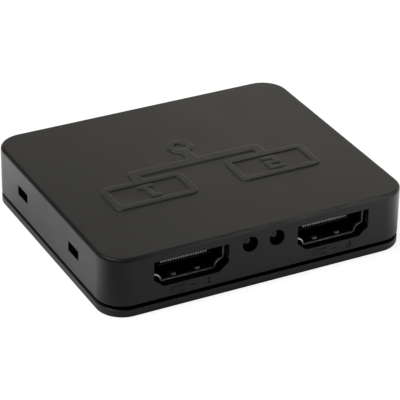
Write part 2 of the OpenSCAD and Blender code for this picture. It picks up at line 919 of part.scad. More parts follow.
module main_board() {
    color(board_green)
        translate([0, 0, board_bottom])
            linear_extrude(board_t)
                difference() {
                    rounded_square(board_w, board_d, board_r);
                    for (x = [-hole_x, hole_x])
                        for (y = [-hole_y, hole_y])
                            translate([x, y])
                                circle(hole_d / 2);
                    for (x = [-output_x, output_x])
                        translate([x, -mouth_y])
                            leg_slots(video_leg_x, [front_leg, rear_leg]);
                    translate([input_x, mouth_y])
                        rotate(180)
                            leg_slots(video_leg_x, [front_leg, rear_leg]);
                    translate([power_x, mouth_y])
                        rotate(180)
                            leg_slots(power_leg_x, [power_leg]);
                    for (x = [-led_pitch / 2, led_pitch / 2])
                        for (lead = [-lead_pitch / 2, lead_pitch / 2])
                            translate([x + lead, lead_y])
                                circle(lead_hole_d / 2);
                }
}

module board_screws() {
    color(screw_grey)
        both_ends()
            translate([hole_x, hole_y, board_top])
                difference() {
                    union() {
                        cylinder(d = screw_head_d, h = screw_head_h);
                        translate([0, 0, -board_t - screw_bite])
                            cylinder(d = screw_d, h = board_t + screw_bite + over);
                    }
                    for (turn = [0, 90])
                        rotate(turn)
                            translate([-screw_slot_l / 2, -screw_slot_w / 2, screw_head_h - screw_slot_depth])
                                cube([screw_slot_l, screw_slot_w, screw_slot_depth + over]);
                }
}

// Sockets, each with its mouth at Y = 0, looking along -Y, and the board's top at Z = 0

// Leg of a shell that goes down through the board
module shell_leg(leg_x, depth, top) {
    bottom = -board_t - leg_below;
    translate([leg_x - shell_t / 2, depth - leg_w / 2, bottom])
        cube([shell_t, leg_w, top - bottom]);
}

// Side of a spring finger in the shell's floor, with its tip rolled over
module spring_side() {
    roll_z = shell_t + spring_rise - spring_roll_r;
    across(spring_w) {
        polygon([[spring_root, 0], [spring_root, shell_t],
            [spring_tip, shell_t + spring_rise], [spring_tip, spring_rise]]);
        translate([spring_tip, roll_z])
            difference() {
                circle(spring_roll_r);
                circle(spring_roll_r - shell_t);
                translate([-2 * spring_roll_r, -2 * spring_roll_r - roll_z])
                    square([4 * spring_roll_r, 2 * spring_roll_r]);
                translate([0, -spring_roll_r])
                    square([2 * spring_roll_r, spring_roll_r]);
            }
    }
}

// Spring finger with a round end
module shell_spring() {
    round_y = spring_tip - spring_roll_r + spring_w / 2;
    intersection() {
        spring_side();
        translate([0, 0, -over])
            linear_extrude(shell_t + spring_rise + 2 * over) {
                translate([0, round_y])
                    circle(spring_w / 2);
                translate([-spring_w, round_y])
                    square([2 * spring_w, spring_root]);
            }
    }
}

module spring_window() {
    front = spring_tip - spring_roll_r - spring_slot;
    width = spring_w + 2 * spring_slot;
    translate([-width / 2, front, -over])
        cube([width, spring_root - front, shell_t + 2 * over]);
}

// Copies to the two springs of the floor and the two of the roof
module at_springs() {
    for (flip = [0, 1])
        translate([0, 0, video_mid])
            mirror([0, 0, flip])
                translate([0, 0, -video_mid])
                    for (x = [-spring_x, spring_x])
                        translate([x, 0, 0])
                            children();
}

module video_shell() {
    color(steel_grey) {
        difference() {
            translate([0, 0, video_mid])
                upright(0, video_len)
                    difference() {
                        polygon(video_outline(shell_t));
                        polygon(video_outline(0));
                    }
            at_springs()
                spring_window();
        }
        at_springs()
            shell_spring();
        left_and_right()
            for (depth = [front_leg, rear_leg])
                shell_leg(video_leg_x, depth, video_mid);
    }
}

// Place of a contact strip's underside: row is 1 above the tongue and -1 below it
function strip_z(row) =
    let (tongue_z = video_mid + tongue_rise)
    let (inner = tongue_t / 2 - contact_sink)
    row > 0 ? tongue_z + inner : tongue_z - inner - contact_t;

function row_count(row) = row > 0 ? upper_contacts : lower_contacts;

// Copies to the contacts of one row
module along_row(count, pitch) {
    for (i = [0 : count - 1])
        translate([(i - (count - 1) / 2) * pitch, 0, 0])
            children();
}

// Slots that the contacts of one row lie in
module contact_slots(count, pitch, z, from, to) {
    width = contact_w + 2 * contact_clear;
    along_row(count, pitch)
        translate([-width / 2, from, z - contact_clear])
            cube([width, to - from, contact_t + 2 * contact_clear]);
}

// Contact that lies along the tongue, comes out at the back and turns down to a foot on the board
module contact(z, from, back) {
    outer = back + tail_gap + contact_t;
    across(contact_w)
        polygon([[from, z], [from, z + contact_t], [outer, z + contact_t], [outer, contact_t],
            [outer + foot_l, contact_t], [outer + foot_l, 0], [back + tail_gap, 0], [back + tail_gap, z]]);
}

// Bar in front of the contacts' lower ends, joined to the tongue beside them
module tongue_nose() {
    front = tongue_recess - contact_clear - nose_t;
    bottom = video_mid + tongue_rise - tongue_t / 2;
    row_w = (max(upper_contacts, lower_contacts) - 1) * contact_pitch + contact_w + 2 * contact_clear;
    difference() {
        translate([-tongue_w / 2, front, bottom])
            cube([tongue_w, tongue_tip - front + over, nose_h]);
        translate([-row_w / 2, front + nose_t, bottom - over])
            cube([row_w, contact_t + 2 * contact_clear, nose_h + 2 * over]);
    }
}

module video_insulator() {
    color(insulator_black)
        difference() {
            union() {
                translate([0, 0, video_mid])
                    upright(video_depth, video_len)
                        polygon(video_outline(-insulator_clear));
                translate([-tongue_w / 2, tongue_tip, video_mid + tongue_rise - tongue_t / 2])
                    cube([tongue_w, video_depth - tongue_tip + over, tongue_t]);
                tongue_nose();
            }
            for (row = [-1, 1])
                contact_slots(row_count(row), contact_pitch, strip_z(row),
                    tongue_recess - contact_clear, video_len + over);
        }
}

// Turned end of a contact, in front of the tongue
module contact_tip() {
    tip_h = tongue_t - 2 * contact_sink + contact_t;
    across(contact_w)
        translate([tongue_recess, video_mid + tongue_rise - tip_h / 2])
            square([contact_t, tip_h]);
}

module video_contacts() {
    color(gold)
        for (row = [-1, 1])
            along_row(row_count(row), contact_pitch) {
                contact(strip_z(row), tongue_recess, video_len);
                contact_tip();
            }
}

module output_1_shell() {
    at_output(-1)
        video_shell();
}

module output_1_insulator() {
    at_output(-1)
        video_insulator();
}

module output_1_contacts() {
    at_output(-1)
        video_contacts();
}

module output_2_shell() {
    at_output(1)
        video_shell();
}

module output_2_insulator() {
    at_output(1)
        video_insulator();
}

module output_2_contacts() {
    at_output(1)
        video_contacts();
}

module input_shell() {
    at_rear(input_x)
        video_shell();
}

module input_insulator() {
    at_rear(input_x)
        video_insulator();
}

module input_contacts() {
    at_rear(input_x)
        video_contacts();
}

module power_shell() {
    color(steel_grey)
        at_rear(power_x) {
            translate([0, 0, power_mid])
                upright(0, power_len)
                    difference() {
                        polygon(power_outline(shell_t));
                        polygon(power_outline(0));
                    }
            left_and_right()
                shell_leg(power_leg_x, power_leg, power_mid + power_h / 2);
        }
}

module power_insulator() {
    color(insulator_black)
        at_rear(power_x)
            difference() {
                union() {
                    translate([0, 0, power_mid])
                        upright(power_depth, power_len)
                            polygon(power_outline(-insulator_clear));
                    translate([-power_tongue_w / 2, power_tongue_recess,
                        power_mid + power_tongue_rise - power_tongue_t / 2])
                        cube([power_tongue_w, power_depth - power_tongue_recess + over, power_tongue_t]);
                }
                contact_slots(power_contact_count, power_contact_pitch, power_strip_z,
                    power_tongue_recess - over, power_len + over);
            }
}

module power_contacts() {
    color(gold)
        at_rear(power_x)
            along_row(power_contact_count, power_contact_pitch)
                contact(power_strip_z, power_tongue_recess, power_len);
}

// Indicator lights

// Lens along +Y from its tip: a dome, a barrel and a collar
module lens() {
    rotate([-90, 0, 0])
        rotate_extrude() {
            intersection() {
                translate([0, led_d / 2])
                    circle(led_d / 2);
                square([led_d / 2, led_d / 2]);
            }
            translate([0, led_d / 2])
                square([led_d / 2, led_len - led_d / 2]);
            translate([0, led_len - led_collar_t])
                square([led_collar_d / 2, led_collar_t]);
        }
}

// Bent lead from the lens's foot down through the board
module lead() {
    drop = led_z - board_bottom + lead_below;
    across(lead_t) {
        translate([led_len, -lead_t / 2])
            square([lead_run + lead_t / 2, lead_t]);
        translate([led_len + lead_run - lead_t / 2, -drop])
            square([lead_t, drop]);
    }
}

module at_light(side) {
    translate([side * led_pitch / 2, led_y, led_z])
        children();
}

module light_leads(side) {
    color(tin_grey)
        at_light(side)
            for (x = [-lead_pitch / 2, lead_pitch / 2])
                translate([x, 0, 0])
                    lead();
}

module led_1_lens() {
    color(lens_red)
        at_light(-1)
            lens();
}

module led_1_leads() {
    light_leads(-1);
}

module led_2_lens() {
    color(lens_green)
        at_light(1)
            lens();
}

module led_2_leads() {
    light_leads(1);
}

// Chips

// Body of a chip above the board, with a dot at its first lead
module chip_body(l, w, h) {
    dot_at = dot_d / 2 + dot_inset;
    translate([-l / 2, -w / 2, chip_lift])
        difference() {
            cube([l, w, h]);
            translate([dot_at, dot_at, h - dot_depth])
                cylinder(d = dot_d, h = dot_depth + over);
        }
}

// Lead that leaves a chip's side at mid height, along +Y, and turns down to a foot on the board
module chip_lead(width, h) {
    z = chip_lift + h / 2 - chip_lead_t / 2;
    bend = chip_lead_l - chip_foot_l;
    across(width)
        polygon([[0, z], [0, z + chip_lead_t], [bend, z + chip_lead_t], [bend, chip_lead_t],
            [chip_lead_l, chip_lead_t], [chip_lead_l, 0], [bend - chip_lead_t, 0], [bend - chip_lead_t, z]]);
}

// Row of leads along a chip's side
module lead_row(count, pitch, width, side, h) {
    translate([0, side / 2, 0])
        along_row(count, pitch)
            chip_lead(width, h);
}

module splitter_chip() {
    color(chip_black)
        on_board([0, 0])
            chip_body(chip_side, chip_side, chip_h);
}

module splitter_chip_leads() {
    color(tin_grey)
        on_board([0, 0])
            for (turn = [0 : 90 : 270])
                rotate(turn)
                    lead_row(chip_leads_n, chip_pitch, chip_lead_w, chip_side, chip_h);
}

module memory_chip() {
    color(chip_black)
        on_board(memory_at)
            chip_body(memory_l, memory_w, memory_h);
}

module memory_chip_leads() {
    color(tin_grey)
        on_board(memory_at)
            both_ends()
                lead_row(memory_leads_n, memory_pitch, memory_lead_w, memory_w, memory_h);
}

module regulator() {
    color(chip_black)
        on_board(regulator_at)
            chip_body(regulator_l, regulator_w, regulator_h);
}

module regulator_leads() {
    color(tin_grey)
        on_board(regulator_at) {
            lead_row(1, regulator_pitch, regulator_tab_w, regulator_w, regulator_h);
            rotate(180)
                lead_row(regulator_leads_n, regulator_pitch, regulator_lead_w, regulator_w, regulator_h);
        }
}

// Crystal and power parts

// Long round-ended outline along Y
module long_round(l, w) {
    square([w, l - w], center = true);
    for (end = [-1, 1])
        translate([0, end * (l - w) / 2])
            circle(w / 2);
}

module crystal_base() {
    color(moulded_black)
        on_board(crystal_at)
            linear_extrude(crystal_base_t)
                square([crystal_w + 2 * crystal_rim, crystal_l + 2 * crystal_rim], center = true);
}

module crystal_can() {
    color(crystal_grey)
        on_board(crystal_at)
            translate([0, 0, crystal_base_t])
                linear_extrude(crystal_h)
                    long_round(crystal_l, crystal_w);
}

module bulk_capacitor_base() {
    color(moulded_black)
        on_board(bulk_at)
            translate([-bulk_base / 2, -bulk_base / 2, 0])
                cube([bulk_base, bulk_base, bulk_base_t]);
}

module bulk_capacitor_can() {
    color(bulk_grey)
        on_board(bulk_at)
            translate([0, 0, bulk_base_t])
                cylinder(d = bulk_d, h = bulk_h - bulk_base_t);
}

module power_inductor() {
    color(ferrite_grey)
        on_board(inductor_at)
            difference() {
                translate([-inductor_side / 2, -inductor_side / 2, 0])
                    cube([inductor_side, inductor_side, inductor_h]);
                translate([0, 0, inductor_h - inductor_well])
                    cylinder(d = inductor_well_d, h = inductor_well + over);
            }
}

module power_fuse() {
    color(fuse_cream)
        on_board([power_x, mouth_y - fuse_y])
            translate([-fuse_l / 2, -fuse_w / 2, 0])
                cube([fuse_l, fuse_w, fuse_h]);
}

// Small parts

// Copies to a column on each side of the splitter chip
module beside_chip(x, count) {
    on_board([0, 0])
        left_and_right()
            for (i = [0 : count - 1])
                translate([x, (i - (count - 1) / 2) * small_pitch, 0])
                    children();
}

// Body of a small part, between its metal ends
module small_body(h) {
    body_l = small_l - 2 * end_l;
    translate([-body_l / 2, -small_w / 2, 0])
        cube([body_l, small_w, h]);
}

module small_ends(h) {
    left_and_right()
        translate([small_l / 2 - end_l, -small_w / 2, 0])
            cube([end_l, small_w, h]);
}

module chip_capacitors() {
    color(capacitor_tan)
        beside_chip(capacitor_x, capacitors_n)
            small_body(capacitor_h);
}

module chip_capacitor_ends() {
    color(end_grey)
        beside_chip(capacitor_x, capacitors_n)
            small_ends(capacitor_h);
}

module chip_resistors() {
    color(resistor_black)
        beside_chip(resistor_x, resistors_n)
            small_body(resistor_h);
}

module chip_resistor_ends() {
    color(end_grey)
        beside_chip(resistor_x, resistors_n)
            small_ends(resistor_h);
}

module surge_arrays() {
    color(moulded_black)
        at_video_sockets()
            for (side = [-1, 1])
                translate([side * surge_pitch / 2 - surge_l / 2, surge_y - surge_w / 2, 0])
                    cube([surge_l, surge_w, surge_h]);
}

top_cover();
bottom_cover();
main_board();
board_screws();
output_1_shell();
output_1_insulator();
output_1_contacts();
output_2_shell();
output_2_insulator();
output_2_contacts();
input_shell();
input_insulator();
input_contacts();
power_shell();
power_insulator();
power_contacts();
led_1_lens();
led_1_leads();
led_2_lens();
led_2_leads();
splitter_chip();
splitter_chip_leads();
memory_chip();
memory_chip_leads();
regulator();
regulator_leads();
crystal_base();
crystal_can();
bulk_capacitor_base();
bulk_capacitor_can();
power_inductor();
power_fuse();
chip_capacitors();
chip_capacitor_ends();
chip_resistors();
chip_resistor_ends();
surge_arrays();
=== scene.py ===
"""Looks of a small video splitter in a snap-together plastic case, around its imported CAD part, in metres."""

import json
import math

import bmesh
import bpy
from mathutils import Matrix, Vector


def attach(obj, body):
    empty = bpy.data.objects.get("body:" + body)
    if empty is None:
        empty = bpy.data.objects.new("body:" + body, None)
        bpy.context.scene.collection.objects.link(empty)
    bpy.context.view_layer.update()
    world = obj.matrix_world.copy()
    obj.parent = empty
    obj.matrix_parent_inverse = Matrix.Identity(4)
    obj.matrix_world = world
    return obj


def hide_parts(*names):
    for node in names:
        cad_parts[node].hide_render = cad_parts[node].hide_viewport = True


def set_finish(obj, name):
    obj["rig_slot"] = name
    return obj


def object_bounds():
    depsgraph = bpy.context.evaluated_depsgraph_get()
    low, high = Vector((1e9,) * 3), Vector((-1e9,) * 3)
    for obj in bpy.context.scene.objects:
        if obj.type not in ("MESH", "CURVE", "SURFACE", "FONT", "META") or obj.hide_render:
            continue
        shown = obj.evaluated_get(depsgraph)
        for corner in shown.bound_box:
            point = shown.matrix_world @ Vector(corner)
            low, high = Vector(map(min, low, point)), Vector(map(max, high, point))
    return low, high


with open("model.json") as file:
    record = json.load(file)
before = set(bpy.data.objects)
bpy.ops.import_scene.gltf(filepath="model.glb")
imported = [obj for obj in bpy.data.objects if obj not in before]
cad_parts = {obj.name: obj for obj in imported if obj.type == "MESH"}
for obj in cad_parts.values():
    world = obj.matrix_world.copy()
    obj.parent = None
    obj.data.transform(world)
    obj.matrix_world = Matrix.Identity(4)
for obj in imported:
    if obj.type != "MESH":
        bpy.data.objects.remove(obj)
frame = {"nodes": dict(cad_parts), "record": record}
bounds_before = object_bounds()
nodes = frame["nodes"]
scene = bpy.context.scene
scene.view_settings.view_transform = "Standard"

MM = 0.001
LEFT = bounds_before[0][0]
HALF_DEPTH = bounds_before[1][1]
TOP = bounds_before[1][2]

# Heights: the roof, on which the mark is raised, the foot of its rounded rim, and a level between the two
ROOF = TOP - 0.2 * MM
RIM_FOOT = ROOF - 0.7 * MM
NEAR_ROOF = ROOF - 0.5 * MM

# Bands of height, as start, full, fade and end, and the upper ends of two more. The raised mark's sides are
# made paler as painted light, and the labels are kept out of the painted shade
MARK_SIDES = (ROOF + 0.01 * MM, ROOF + 0.04 * MM, ROOF + 0.17 * MM, ROOF + 0.195 * MM)
LABELS = (2.6 * MM, 2.7 * MM, 4.5 * MM, 4.6 * MM)
RIM_FADE = (ROOF - 0.05 * MM, ROOF - 0.003 * MM)
GAP_FADE = (2.5 * MM, 2.6 * MM)

# Ranges along x: the lit end of the shadow gap, kept out of the painted shade, the end of the rim whose shine
# is painted dimmer, and where the rim's scuffed patches, partly real and partly painted highlight, set in
LIT_GAP = (LEFT + 1.5 * MM, LEFT + 3.6 * MM)
DIM_RIM = (LEFT + 4.1 * MM, LEFT + 16.1 * MM)
SCUFFED = (LEFT + 5.1 * MM, LEFT + 43.1 * MM)

# How far a look for cover over a recess reaches, for the painted shade: for narrow gaps, and for cutouts
GAP_REACH, CUTOUT_REACH = 1.6 * MM, 12 * MM

# Ranges of distance from the middle: the end of the raised mark, and the steel lip of a socket, across which
# the socket's painted shade fades out toward the mouth
MARK_END = (24.9 * MM, 25.6 * MM)
LIP = (HALF_DEPTH - 2.3 * MM, HALF_DEPTH - 1.8 * MM)

# Rounding of outward edges in the meshes, and of all edges of the plastic in its shading
COVER_ROUND, SHELL_ROUND = 0.12 * MM, 0.08 * MM
WALL_SOFT, RIM_SOFT, MARK_SOFT = 0.22 * MM, 0.1 * MM, 0.13 * MM

# Plastic: how pale clouds are; how pale and how rough the rubbed marks and painted light are; and what the dim
# rim keeps of its shine, as painted shade on its highlight
CLOUD_PALE, PALE_WEAR_AND_LIGHT = 1.25, 4.2
ROUGH_WEAR_AND_LIGHT, DIM_SHINE = 0.2, 0.3

# Steel: what tarnish keeps of its colour, and what the painted shade deep inside a socket keeps of it
TARNISH, SOCKET_SHADE_KEEPS = 0.72, 0.17

# The next two colours are painted shade: in recesses of the plastic, and deep inside a socket
PAINTED_SHADE_BLACK = (0.001, 0.001, 0.001)
PAINTED_SHADE_STEEL = (0.004, 0.004, 0.004)
WHITE = (1, 1, 1)
WARM = (1, 0.95, 0.85)
PALE_WARM = (1, 0.97, 0.92)


# Node helpers

# Sockets of a mix of two colours, by number because several share a name
MIX_FACTOR, MIX_FIRST, MIX_SECOND, MIX_COLOUR = 0, 6, 7, 2


def new_material(name):
    """An empty material, with its tree and its output node."""
    mat = bpy.data.materials.new(name)
    mat.use_nodes = True
    tree = mat.node_tree
    tree.nodes.clear()
    out = tree.nodes.new("ShaderNodeOutputMaterial")
    return mat, tree, out


def add(tree, kind, sockets=None, **props):
    """A node with its properties set, and each named socket set to a value or linked to another socket."""
    made = tree.nodes.new(kind)
    for key, value in props.items():
        setattr(made, key, value)
    for key, value in (sockets or {}).items():
        if isinstance(value, bpy.types.NodeSocket):
            tree.links.new(value, made.inputs[key])
        else:
            made.inputs[key].default_value = value
    return made


def calc(tree, operation, *values):
    """Result of one arithmetic step on numbers and sockets."""
    made = add(tree, "ShaderNodeMath", dict(enumerate(values)), operation=operation)
    return made.outputs[0]


def place(tree, scale=(1, 1, 1)):
    """Coordinates of the part's own frame, in metres, stretched by scale."""
    coords = add(tree, "ShaderNodeTexCoord")
    if tuple(scale) == (1, 1, 1):
        return coords.outputs["Object"]
    mapping = add(tree, "ShaderNodeMapping", {"Vector": coords.outputs["Object"], "Scale": scale})
    return mapping.outputs["Vector"]


def position(tree):
    """X, Y and Z in the part's own frame, in metres."""
    split = add(tree, "ShaderNodeSeparateXYZ", {0: place(tree)})
    return split.outputs["X"], split.outputs["Y"], split.outputs["Z"]


def noise(tree, size, detail=2.0, roughness=0.5, stretch=(1, 1, 1)):
    """Noise whose features measure about size, in metres, as a factor."""
    made = add(tree, "ShaderNodeTexNoise", {"Vector": place(tree, stretch), "Scale": 1 / size,
                                            "Detail": detail, "Roughness": roughness})
    return made.outputs["Fac"]


def ranged(tree, factor, low, high, start=0.0, end=1.0):
    """The factor's range from start to end, turned into low to high."""
    made = add(tree, "ShaderNodeMapRange", {"Value": factor, "From Min": start, "From Max": end,
                                            "To Min": low, "To Max": high})
    return made.outputs["Result"]


def band(tree, factor, start, full, fade, end):
    """1 where the factor lies from full to fade, falling to 0 at start and at end."""
    return calc(tree, "MULTIPLY", ranged(tree, factor, 0.0, 1.0, start, full),
                ranged(tree, factor, 1.0, 0.0, fade, end))


def blend(tree, factor, first, second):
    """Colour between two colours, each a tuple or a socket."""
    made = add(tree, "ShaderNodeMix", data_type="RGBA")
    for number, value in ((MIX_FACTOR, factor), (MIX_FIRST, first), (MIX_SECOND, second)):
        socket = made.inputs[number]
        if isinstance(value, bpy.types.NodeSocket):
            tree.links.new(value, socket)
        elif isinstance(value, (tuple, list)):
            socket.default_value = (*value, 1.0)
        else:
            socket.default_value = value
    return made.outputs[MIX_COLOUR]


def scaled(colour, amount):
    """The colour, made brighter or darker by that factor."""
    return tuple(amount * c for c in colour)


def bump(tree, height, strength, distance, normal=None):
    """Normal tilted by a height that spans distance, on top of another normal if there is one."""
    sockets = {"Height": height, "Strength": strength, "Distance": distance}
    if normal is not None:
        sockets["Normal"] = normal
    return add(tree, "ShaderNodeBump", sockets).outputs["Normal"]


def surface(tree, out, sockets):
    """Ends a material in one shader with these sockets."""
    shader = add(tree, "ShaderNodeBsdfPrincipled", sockets)
    tree.links.new(shader.outputs["BSDF"], out.inputs["Surface"])


# Materials

def openness(tree, reach, low, high, own=False):
    """0 where surfaces within reach, or the piece's own ones, hide most of the sky, and 1 on an open face."""
    made = add(tree, "ShaderNodeAmbientOcclusion", {"Distance": reach}, samples=12, only_local=own)
    return ranged(tree, made.outputs["AO"], 0.0, 1.0, low, high)


def recess_shade(tree, across, height):
    """Mask of painted shade: 0 in the shadow gap, cutouts and windows, and 1 on outer faces, shallow marks and
    the gap's lit end.
    """
    hidden = calc(tree, "MULTIPLY", openness(tree, GAP_REACH, 0.4, 0.75),
                  openness(tree, CUTOUT_REACH, 0.6, 0.88, True))
    roof = ranged(tree, height, 0.0, 1.0, NEAR_ROOF, NEAR_ROOF + 0.2 * MM)
    lit_gap = calc(tree, "MULTIPLY", ranged(tree, across, 1.0, 0.0, *LIT_GAP),
                   ranged(tree, height, 1.0, 0.0, *GAP_FADE))
    shown = calc(tree, "MAXIMUM", roof, band(tree, height, *LABELS))
    shown = calc(tree, "MAXIMUM", shown, lit_gap)
    return calc(tree, "MAXIMUM", hidden, shown)


def roof_rim(tree, height, rise):
    """1 on the rounded rim of the roof, reached within rise from its foot."""
    return band(tree, height, RIM_FOOT, RIM_FOOT + rise, *RIM_FADE)


def wear_and_painted_light(tree, across, height):
    """Pale rubbed marks and painted light, as a factor: scuffed patches along the roof's rim, more to the
    right, partly real and partly painted highlight, and the raised mark's sides, made paler as painted light.
    """
    patches = noise(tree, 1.2 * MM, 3.0, 0.6, (0.25, 0.5, 3))
    scuffs_and_highlight = calc(tree, "MULTIPLY", ranged(tree, patches, 0.1, 0.9, 0.35, 0.65),
                  ranged(tree, across, 0.0, 1.5, *SCUFFED))
    rim = calc(tree, "MULTIPLY", roof_rim(tree, height, 0.4 * MM), scuffs_and_highlight)
    # The raised mark's sides are made paler as painted light, which softens their dark shaded lines
    return calc(tree, "MAXIMUM", rim, band(tree, height, *MARK_SIDES))


def soft_normal(tree, height):
    """Normal that rounds the edges a little, less on the roof's rim than on the walls and the raised mark."""
    middle = add(tree, "ShaderNodeVectorMath", {0: place(tree, (1, 1, 0))}, operation="LENGTH")
    walls = ranged(tree, height, WALL_SOFT, RIM_SOFT, NEAR_ROOF, NEAR_ROOF + 0.4 * MM)
    mark = ranged(tree, middle.outputs["Value"], MARK_SOFT, 0.0, *MARK_END)
    made = add(tree, "ShaderNodeBevel", {"Radius": calc(tree, "ADD", walls, mark)}, samples=8)
    return made.outputs["Normal"]


def moulded(name, colour, rough, grain, level=0.5):
    """Textured black plastic: fine grain, uneven gloss, a pale scuffed rim that is partly real and partly
    painted highlight, raised-mark sides made paler as painted light, and painted shade in recesses.
    """
    mat, tree, out = new_material(name)
    fine = noise(tree, grain, 3.0, 0.6)
    cloud = noise(tree, 9 * MM, 3.0, 0.55)
    streak = noise(tree, 1.6 * MM, 2.0, 0.5, (0.25, 1, 1))
    across, _, height = position(tree)
    clear = recess_shade(tree, across, height)
    worn_and_lit = wear_and_painted_light(tree, across, height)

    tint = blend(tree, ranged(tree, cloud, 0.0, 1.0, 0.35, 0.7), colour, scaled(colour, CLOUD_PALE))
    tint = blend(tree, worn_and_lit, tint, scaled(colour, PALE_WEAR_AND_LIGHT))
    gloss = calc(tree, "ADD", ranged(tree, cloud, rough - 0.035, rough + 0.045, 0.3, 0.7),
                 ranged(tree, streak, -0.01, 0.01, 0.3, 0.7))
    gloss = calc(tree, "MULTIPLY_ADD", worn_and_lit, ROUGH_WEAR_AND_LIGHT, gloss)
    # Shine is damped in the painted shade of recesses, and painted dimmer on the rim's left end
    dim_rim = calc(tree, "MULTIPLY", roof_rim(tree, height, 0.2 * MM),
                   ranged(tree, across, 1.0, 0.0, *DIM_RIM))
    shine = calc(tree, "MULTIPLY", ranged(tree, clear, 0.0, level), ranged(tree, dim_rim, 1.0, DIM_SHINE))
    normal = bump(tree, fine, 0.25, 0.015 * MM, soft_normal(tree, height))
    # The base colour goes to black where shade is painted in recesses
    surface(tree, out, {"Base Color": blend(tree, clear, PAINTED_SHADE_BLACK, tint), "Roughness": gloss,
                        "Normal": normal, "Specular IOR Level": shine})
    return mat


def metal(name, colour, rough, line=(1, 1, 1), reach=0.0):
    """Plated or rolled metal with fine lines and a little tarnish; with a reach, painted shade darkens it
    inside its socket.
    """
    mat, tree, out = new_material(name)
    lines = noise(tree, 0.25 * MM, 3.0, 0.6, line)
    stain = noise(tree, 1.8 * MM, 2.0, 0.5)
    tint = blend(tree, ranged(tree, stain, 0.0, 0.7, 0.45, 0.75), colour, scaled(colour, TARNISH))
    if reach:
        # Painted shade inside a socket: darker deeper in than the lip, and where nearby surfaces hide the sky
        depth = calc(tree, "ABSOLUTE", position(tree)[1])
        lit = calc(tree, "MULTIPLY", openness(tree, reach, 0.38, 0.62),
                   ranged(tree, depth, SOCKET_SHADE_KEEPS, 1.0, *LIP))
        tint = blend(tree, lit, PAINTED_SHADE_STEEL, tint)
    gloss = ranged(tree, lines, rough - 0.08, rough + 0.1, 0.25, 0.75)
    surface(tree, out, {"Base Color": tint, "Metallic": 1.0, "Roughness": gloss,
                        "Normal": bump(tree, lines, 0.15, 0.01 * MM)})
    return mat


def lens(name, colour):
    """Dark tinted epoxy of an unlit indicator."""
    mat, tree, out = new_material(name)
    haze = noise(tree, 0.7 * MM, 2.0)
    surface(tree, out, {"Base Color": blend(tree, haze, colour, scaled(colour, 0.4)),
                        "Roughness": ranged(tree, haze, 0.16, 0.24), "Specular IOR Level": 0.6})
    return mat


def laminate():
    """Green solder mask with raised tracks and small tinned spots."""
    mat, tree, out = new_material("solder_mask")
    cells = add(tree, "ShaderNodeTexVoronoi", {"Vector": place(tree), "Scale": 1 / (2.4 * MM)},
                distance="CHEBYCHEV", feature="F1")
    tracks = add(tree, "ShaderNodeTexWave",
                 {"Vector": place(tree), "Scale": 1 / (4.5 * MM), "Distortion": 0.0},
                 wave_type="BANDS", bands_direction="DIAGONAL")
    line = ranged(tree, tracks.outputs["Fac"], 0.0, 1.0, 0.62, 0.72)
    spot = ranged(tree, cells.outputs["Distance"], 1.0, 0.0, 0.1, 0.13)
    tint = blend(tree, line, (0.012, 0.11, 0.045), (0.03, 0.2, 0.085))
    tint = blend(tree, spot, tint, (0.6, 0.6, 0.58))
    surface(tree, out, {"Base Color": tint, "Roughness": ranged(tree, noise(tree, 1.2 * MM), 0.28, 0.42),
                        "Metallic": spot, "Normal": bump(tree, line, 0.4, 0.03 * MM)})
    return mat


def ceramic(name, colour, rough):
    """Fine-grained fired body of a small component."""
    mat, tree, out = new_material(name)
    grain = noise(tree, 0.12 * MM, 3.0)
    tint = blend(tree, ranged(tree, grain, 0.0, 1.0, 0.3, 0.7), colour, scaled(colour, 0.75))
    surface(tree, out, {"Base Color": tint, "Roughness": ranged(tree, grain, rough - 0.06, rough + 0.08),
                        "Normal": bump(tree, grain, 0.2, 0.01 * MM)})
    return mat


MATERIALS = {
    "case_plastic": moulded("case_plastic", (0.016, 0.016, 0.0155), 0.36, 0.16 * MM),
    "insulator_plastic": moulded("insulator_plastic", (0.008, 0.008, 0.008), 0.42, 0.1 * MM, 0.3),
    "chip_epoxy": moulded("chip_epoxy", (0.022, 0.022, 0.023), 0.6, 0.08 * MM),
    "board_laminate": laminate(),
    "screw_steel": metal("screw_steel", (0.55, 0.55, 0.56), 0.34),
    "socket_steel": metal("socket_steel", (0.88, 0.87, 0.85), 0.36, (0.2, 1, 1), 4 * MM),
    "contact_metal": metal("contact_metal", (0.52, 0.51, 0.47), 0.35, (1, 0.2, 1)),
    "lead_metal": metal("lead_metal", (0.68, 0.68, 0.68), 0.35),
    "can_metal": metal("can_metal", (0.72, 0.72, 0.74), 0.3, (1, 1, 0.2)),
    "lens_amber": lens("lens_amber", (0.02, 0.008, 0.004)),
    "lens_green": lens("lens_green", (0.004, 0.014, 0.007)),
    "ferrite": ceramic("ferrite", (0.06, 0.06, 0.064), 0.6),
    "capacitor_ceramic": ceramic("capacitor_ceramic", (0.4, 0.27, 0.15), 0.4),
    "resistor_ceramic": ceramic("resistor_ceramic", (0.03, 0.03, 0.034), 0.3),
    "fuse_ceramic": ceramic("fuse_ceramic", (0.5, 0.49, 0.4), 0.45),
}

for part in frame["record"]["subparts"]:
    piece = nodes[part["node"]]
    piece.data.materials.clear()
    piece.data.materials.append(MATERIALS[part["material_slot"]])
    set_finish(piece, part["material_slot"])


# Rounded edges

WELD = 0.001 * MM
FLAT, SHARP = math.radians(0.3), math.radians(35)


